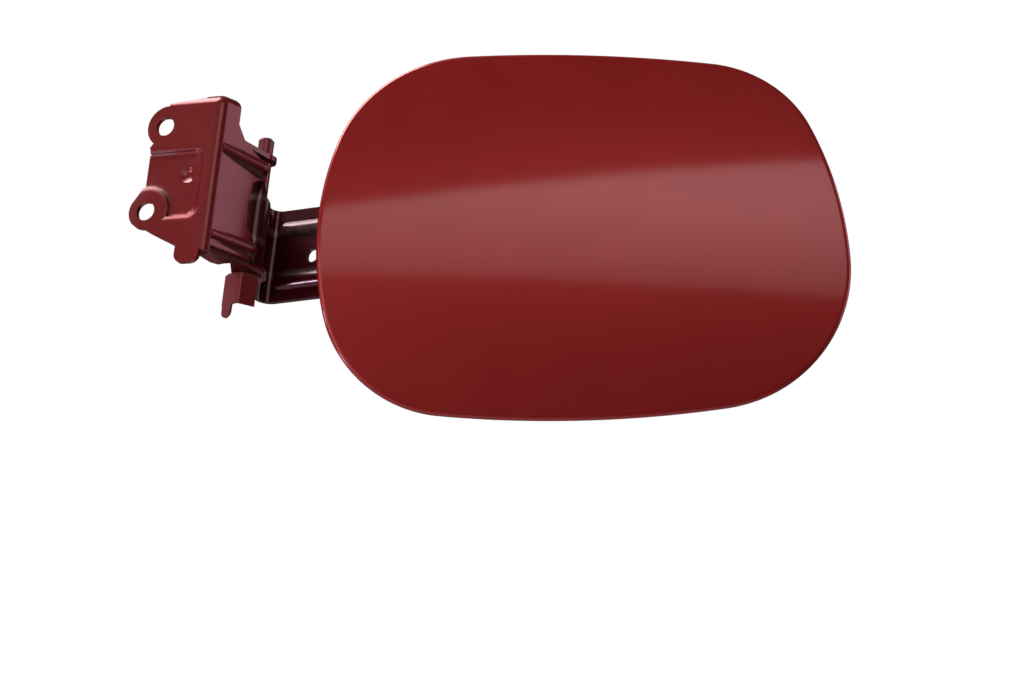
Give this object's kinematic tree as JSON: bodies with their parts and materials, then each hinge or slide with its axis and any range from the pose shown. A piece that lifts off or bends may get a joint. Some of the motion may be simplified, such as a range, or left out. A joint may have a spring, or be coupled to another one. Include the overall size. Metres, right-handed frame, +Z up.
{
  "type": "fuel filler flap",
  "caption": "Red painted car fuel filler flap: crowned oval door on a swan-neck hinge arm, with hinge pin and stamped bolt-on bracket.",
  "frame": {"origin": "midway between the two bolt holes, on the front face of the bracket's flange", "axes": "+X from the hinge to the door's free edge, +Y into the car, +Z up along the hinge pin"},
  "size_m": [0.2737, 0.0623, 0.1542],
  "materials": {
    "red_metallic_paint": "gloss",
    "thin_red_paint": "satin",
    "pin_paint": "satin",
    "rivet_steel": "satin",
    "black_rubber": "matte",
    "black_plastic": "matte"
  },
  "bodies": {
    "bracket": {"hinge_bracket": "red_metallic_paint", "snap_spring": "red_metallic_paint"},
    "door": {"outer_panel": "red_metallic_paint", "inner_panel": "thin_red_paint", "hinge_arm": "thin_red_paint", "hinge_pin": "pin_paint", "latch_striker": "thin_red_paint", "striker_rivets": "rivet_steel", "bumper_upper": "black_rubber", "bumper_lower": "black_rubber", "cap_holder": "black_plastic"}
  },
  "joints": [
    {"name": "door_hinge", "type": "hinge", "parent": "bracket", "child": "door", "pos_m": [0.03977, 0.0134, 0], "axis": [0, 0, -1], "range_deg": [0, 80]}
  ]
}
